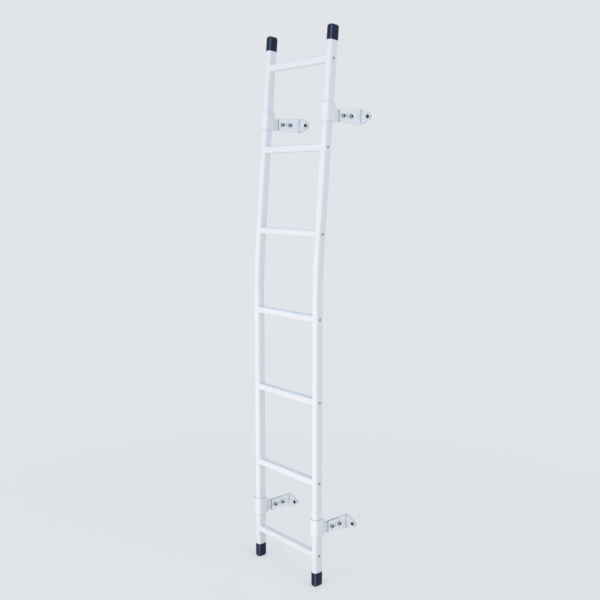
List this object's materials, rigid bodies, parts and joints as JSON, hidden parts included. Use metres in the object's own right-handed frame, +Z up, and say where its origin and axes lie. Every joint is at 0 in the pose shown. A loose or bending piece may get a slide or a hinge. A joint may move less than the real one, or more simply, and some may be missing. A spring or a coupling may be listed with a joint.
{
  "type": "van rear door ladder",
  "caption": "Slim white rear door ladder with two bent tube rails, rounded rungs, black end caps and folded stand-off brackets clamped to the rails for bolting to a van door.",
  "frame": {"origin": "on the door face of the lower right bracket tab, between its fold and its bolt hole, at mid-height of the tab", "axes": "+X along the rungs to the right as seen from behind the van, +Y forward into the door, +Z up"},
  "size_m": [0.4137, 0.2249, 2.037],
  "materials": {
    "white_powder_coat": "white semi-gloss powder coat on aluminium tube",
    "painted_strap": "white semi-gloss powder coat on steel strap",
    "zinc_plate": "satin zinc-plated steel",
    "black_vinyl": "glossy dip-moulded vinyl"
  },
  "bodies": {
    "root": {"left_rail": "white_powder_coat", "right_rail": "white_powder_coat", "rung_1": "white_powder_coat", "rung_2": "white_powder_coat", "rung_3": "white_powder_coat", "rung_4": "white_powder_coat", "rung_5": "white_powder_coat", "rung_6": "white_powder_coat", "rung_7": "white_powder_coat", "bottom_left_end_cap": "black_vinyl", "bottom_right_end_cap": "black_vinyl", "top_left_end_cap": "black_vinyl", "top_right_end_cap": "black_vinyl", "lower_left_rail_clamp": "painted_strap", "lower_left_door_bracket": "zinc_plate", "lower_right_rail_clamp": "painted_strap", "lower_right_door_bracket": "zinc_plate", "upper_left_rail_clamp": "painted_strap", "upper_left_door_bracket": "zinc_plate", "upper_right_rail_clamp": "painted_strap", "upper_right_door_bracket": "zinc_plate"}
  },
  "joints": []
}
